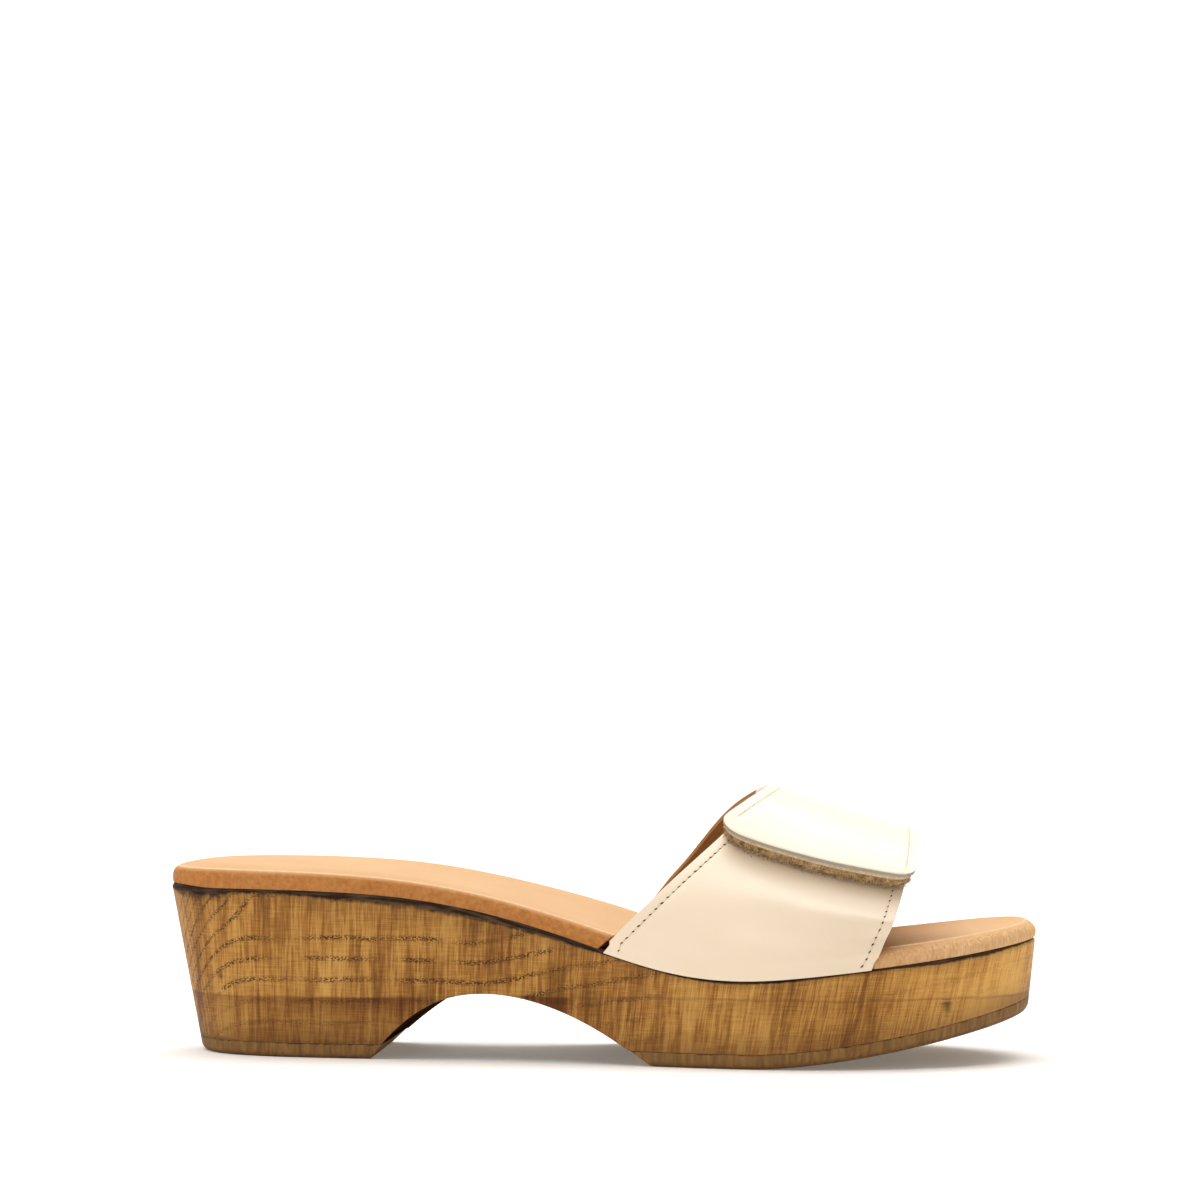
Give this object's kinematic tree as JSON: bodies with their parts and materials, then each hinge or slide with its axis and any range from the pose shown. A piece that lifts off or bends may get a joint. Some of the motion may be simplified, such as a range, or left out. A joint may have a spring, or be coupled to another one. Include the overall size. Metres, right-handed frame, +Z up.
{
  "type": "clog",
  "caption": "Open-toe slide clog: arched wooden sole with a low block heel, padded leather footbed and a wide leather instep strap closed by a hook-and-loop flap.",
  "frame": {"origin": "on the floor, under the middle of the clog's length and width", "axes": "+X from heel to toe, +Y towards the inner side of the foot, +Z up"},
  "size_m": [0.25, 0.094, 0.0776],
  "materials": {
    "stained_wood": "brown stain, saw marks left standing, satin",
    "heel_rubber": "matt, ground flush with the wood",
    "outsole_rubber": "matt, ground flush with the wood",
    "tan_leather": "smooth natural tan, satin",
    "ivory_leather": "smooth ivory, soft gloss",
    "hook_tape": "woven nylon with hooks, matt",
    "loop_tape": "brushed nylon loops, matt"
  },
  "bodies": {
    "root": {"wooden_sole": "stained_wood", "heel_top_lift": "heel_rubber", "forefoot_outsole": "outsole_rubber", "footbed": "tan_leather", "lateral_strap": "ivory_leather", "medial_strap": "ivory_leather", "hook_tape": "hook_tape", "loop_tape": "loop_tape"}
  },
  "joints": []
}
